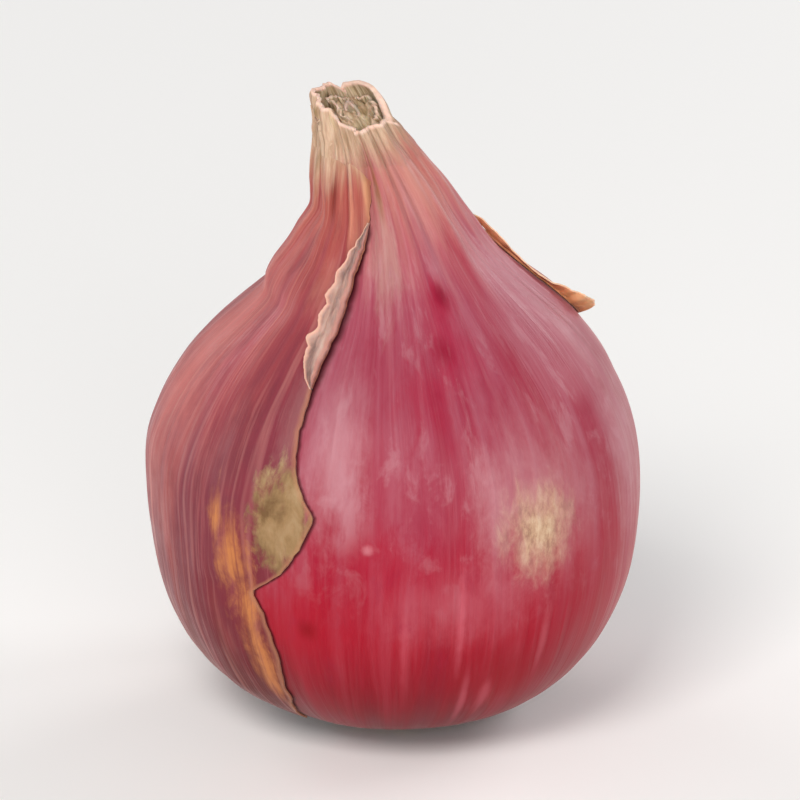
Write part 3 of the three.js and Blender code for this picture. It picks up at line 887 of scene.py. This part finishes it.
bm = bmesh.new()
bmesh.ops.create_grid(bm, x_segments=90, y_segments=90, size=1)
fibre_layer = bm.verts.layers.float_vector.new("fibre")
inside_layer = bm.verts.layers.float.new("inside")
below_layer = bm.verts.layers.float.new("below_top")
for vert in bm.verts:
    u, v = vert.co.xy
    x = HEART_RADIUS * u * math.sqrt(1 - v * v / 2)
    y = HEART_RADIUS * v * math.sqrt(1 - u * u / 2)
    crease = 1 - 2.6 * abs(noise.noise(Vector((x * HEART_CREASES, y * HEART_CREASES, 4))))
    crease += 0.22 * noise.noise(Vector((x * 3.2, y * 3.2, 9)))
    z = HEART_HEIGHT + HEART_SLOPE * y + 0.6 * (crease - 0.5)
    z -= 1.2 * smoothstep(math.hypot(x, y), 1.5, HEART_RADIUS)
    vert[fibre_layer] = (x * 3, y * 3, z)
    vert[inside_layer] = 1 - 0.8 * smoothstep(crease, 0.2, 1.0)
    vert[below_layer] = 1.0
    vert.co = (neck_bow(z) + x, y, z)
bmesh.ops.solidify(bm, geom=bm.verts[:] + bm.edges[:] + bm.faces[:], thickness=LEAF_THICKNESS)
make_piece(bm, "crown_heart", crown_paper)

# The root plate and its roots
# The corky disc that the roots grew from, with the short stubs that were left when they
# were trimmed. The plate is turned, and each stub is a small bent tapering tube.
ROOT_PLATE = [(0, 0), (3.0, 0), (4.9, 0), (5.2, 0.35), (5.35, 0.9), (4.8, 1.3), (0, 1.3)]
PLATE_SEGMENTS = 120
STUBS = 40
STUB_LENGTH = 2.3
SHORTEST_STUB = 1.3
LONGEST_STUB = 2.8
STUBS_FROM = 4.5

root_cork, tree, shader = new_material("root_cork")
cork_place = tree.nodes.new("ShaderNodeTexCoord").outputs["Object"]
cork = grainy(tree, cork_place, 900, 6, 0.7, 0.6)
colour = ramp(tree, cork, [(0.3, "6E5434"), (0.48, "A88A5C"), (0.62, "C4A878"), (0.78, "D8C298")])
tree.links.new(colour, shader.inputs["Base Color"])
tree.links.new(remapped(tree, cork, 0.3, 0.7, 0.65, 0.85), shader.inputs["Roughness"])
bumped(tree, shader, cork, 0.0004)

bm = bmesh.new()
profile = [bm.verts.new((r, 0, z)) for r, z in ROOT_PLATE]
spokes = [bm.edges.new(pair) for pair in zip(profile, profile[1:])]
bmesh.ops.subdivide_edges(bm, edges=spokes, cuts=3)
bmesh.ops.spin(
    bm, geom=bm.verts[:] + bm.edges[:], cent=(0, 0, 0), axis=(0, 0, 1), angle=2 * math.pi,
    steps=PLATE_SEGMENTS, use_merge=True,
)
bmesh.ops.remove_doubles(bm, verts=bm.verts, dist=0.0005)
bmesh.ops.recalc_face_normals(bm, faces=bm.faces)
for vert in bm.verts:
    if vert.co.z < 0.9:
        pits = 0.16 * (1 + noise.fractal(vert.co * 1.1, 0.6, 2.1, 4))
        vert.co.z += max(0.0, min(0.3, pits * (1 - smoothstep(vert.co.xy.length, 4.6, 5.2))))
make_piece(bm, "root_plate", root_cork)

bm = bmesh.new()
for i in range(STUBS):
    wander = noise.noise(Vector((i * 3.7, 1.3, 0)))
    length = max(SHORTEST_STUB, min(LONGEST_STUB, STUB_LENGTH + 2.6 * wander))
    made_before = len(bm.verts)
    bmesh.ops.create_cone(
        bm, cap_ends=True, segments=8, radius1=0.27 + 0.1 * wander, radius2=0.12, depth=length,
    )
    bm.verts.ensure_lookup_table()
    sides = {
        edge for vert in bm.verts[made_before:] for edge in vert.link_edges
        if abs(edge.verts[0].co.z - edge.verts[1].co.z) > 0.5
    }
    bmesh.ops.subdivide_edges(bm, edges=list(sides), cuts=5)
    bm.verts.ensure_lookup_table()
    turn = 2 * math.pi * (i + 1.1 * noise.noise(Vector((i * 2.3, 7, 0)))) / STUBS
    for vert in bm.verts[made_before:]:
        out = vert.co.z + length / 2
        bend = 0.2 * wander * out * out
        reach = STUBS_FROM + out
        aside = vert.co.x + bend
        up = 0.42 + vert.co.y * 0.8 + 0.12 * out
        vert.co = (
            reach * math.sin(turn) + aside * math.cos(turn),
            -reach * math.cos(turn) + aside * math.sin(turn),
            max(0.05, up),
        )
bmesh.ops.recalc_face_normals(bm, faces=bm.faces)
make_piece(bm, "root_stubs", root_cork)

# The studio
# A pale floor, soft light from in front and a little from the left, and a weaker light on
# each side that draws the pale outlines.
FLOOR_HALF = 3.0
VIEW_ELEVATION = math.radians(20)
VIEW_DISTANCE = 0.5
VIEW_WIDTH = 0.0578
VIEW_CENTRE = Vector((0.0003, 0, 0.0233))

floor_paint, tree, shader = new_material("floor_paint")
shader.inputs["Base Color"].default_value = (0.93, 0.922, 0.915, 1)
shader.inputs["Roughness"].default_value = 0.6
bm = bmesh.new()
bmesh.ops.create_grid(bm, x_segments=1, y_segments=1, size=FLOOR_HALF)
mesh = bpy.data.meshes.new("floor")
bm.to_mesh(mesh)
bm.free()
mesh.materials.append(floor_paint)
floor = bpy.data.objects.new("floor", mesh)
bpy.context.scene.collection.objects.link(floor)


def soft_light(name, place, size, power, colour=(1, 1, 1)):
    """A square light of some metres across that shines at the shallot."""
    data = bpy.data.lights.new(name, "AREA")
    data.size = size
    data.energy = power
    data.color = colour
    light = bpy.data.objects.new(name, data)
    light.location = place
    light.rotation_euler = (VIEW_CENTRE - Vector(place)).to_track_quat("-Z", "Y").to_euler()
    bpy.context.scene.collection.objects.link(light)


soft_light("key", (-0.15, -0.38, 0.40), 0.24, 2.0, (1.0, 0.98, 0.95))
soft_light("front", (0.11, -0.52, 0.16), 0.3, 1.25)
soft_light("left_side", (-0.51, 0.19, 0.12), 0.2, 0.8)
soft_light("right_side", (0.46, 0.16, 0.28), 0.2, 0.7)
soft_light("left_rim", (-0.34, 0.40, 0.21), 0.2, 0.6)
soft_light("right_rim", (0.34, 0.40, 0.21), 0.2, 0.9)

world = bpy.data.worlds.new("studio")
world.use_nodes = True
world.node_tree.nodes["Background"].inputs["Color"].default_value = (1, 1, 1, 1)
world.node_tree.nodes["Background"].inputs["Strength"].default_value = 0.23
bpy.context.scene.world = world
bpy.context.scene.view_settings.view_transform = "Standard"

lens = bpy.data.cameras.new("view")
lens.sensor_width = 36
lens.lens = lens.sensor_width * VIEW_DISTANCE / VIEW_WIDTH
camera = bpy.data.objects.new("view", lens)
back = Vector((0, -math.cos(VIEW_ELEVATION), math.sin(VIEW_ELEVATION)))
camera.location = VIEW_CENTRE + back * VIEW_DISTANCE
camera.rotation_euler = (-back).to_track_quat("-Z", "Y").to_euler()
bpy.context.scene.collection.objects.link(camera)
bpy.context.scene.camera = camera
